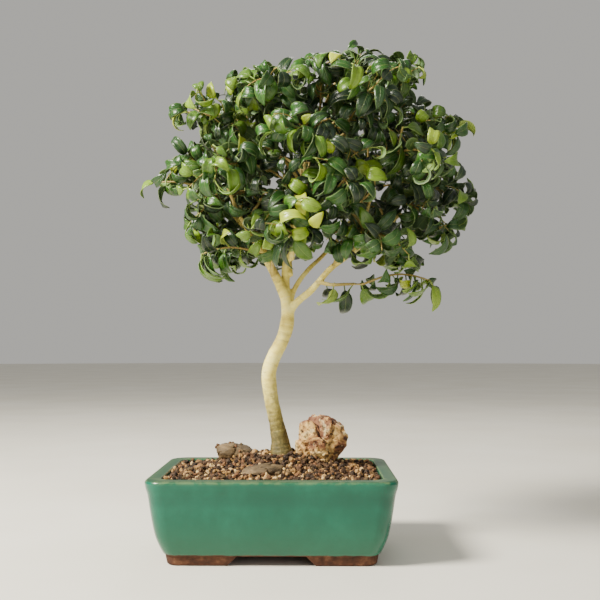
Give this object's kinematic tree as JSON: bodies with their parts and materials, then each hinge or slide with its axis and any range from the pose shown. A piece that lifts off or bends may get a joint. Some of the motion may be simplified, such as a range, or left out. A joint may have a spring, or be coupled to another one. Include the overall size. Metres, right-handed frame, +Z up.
{
  "type": "potted bonsai tree",
  "caption": "Curly-leaved fig bonsai with a gently curved trunk and a round leafy crown, in a glazed rectangular footed pot with gravel and a feature stone.",
  "frame": {"origin": "under the middle of the whole object's bounding box, on the surface that the pot stands on", "axes": "+X to the right along the pot's long side, seen from its front, +Y to the back, +Z up"},
  "size_m": [0.289, 0.2194, 0.435],
  "materials": {
    "glaze": "gloss",
    "plastic": "matte",
    "soil": "matte",
    "gravel": "matte",
    "pale_stone": "matte",
    "tan_stone": "matte",
    "bark": "matte",
    "leaf": "satin"
  },
  "bodies": {
    "root": {"pot": "glaze", "drain_screen_left": "plastic", "drain_screen_right": "plastic", "soil": "soil", "gravel": "gravel", "feature_stone": "pale_stone", "flat_stone_back": "tan_stone", "flat_stone_front": "tan_stone", "tree": "bark", "spray_01": "leaf", "spray_02": "leaf", "spray_03": "leaf", "spray_04": "leaf", "spray_05": "leaf", "spray_06": "leaf", "spray_07": "leaf", "spray_08": "leaf", "spray_09": "leaf", "spray_10": "leaf", "spray_11": "leaf", "spray_12": "leaf", "spray_13": "leaf", "spray_14": "leaf", "spray_15": "leaf", "spray_16": "leaf", "spray_17": "leaf", "spray_18": "leaf", "spray_19": "leaf", "spray_20": "leaf", "spray_21": "leaf", "spray_22": "leaf", "spray_23": "leaf", "spray_24": "leaf", "spray_25": "leaf", "spray_26": "leaf", "spray_27": "leaf", "spray_28": "leaf", "spray_29": "leaf", "spray_30": "leaf", "spray_31": "leaf", "spray_32": "leaf", "spray_33": "leaf", "spray_34": "leaf", "spray_35": "leaf", "spray_36": "leaf", "spray_37": "leaf", "spray_38": "leaf", "spray_39": "leaf", "spray_40": "leaf"}
  },
  "joints": []
}
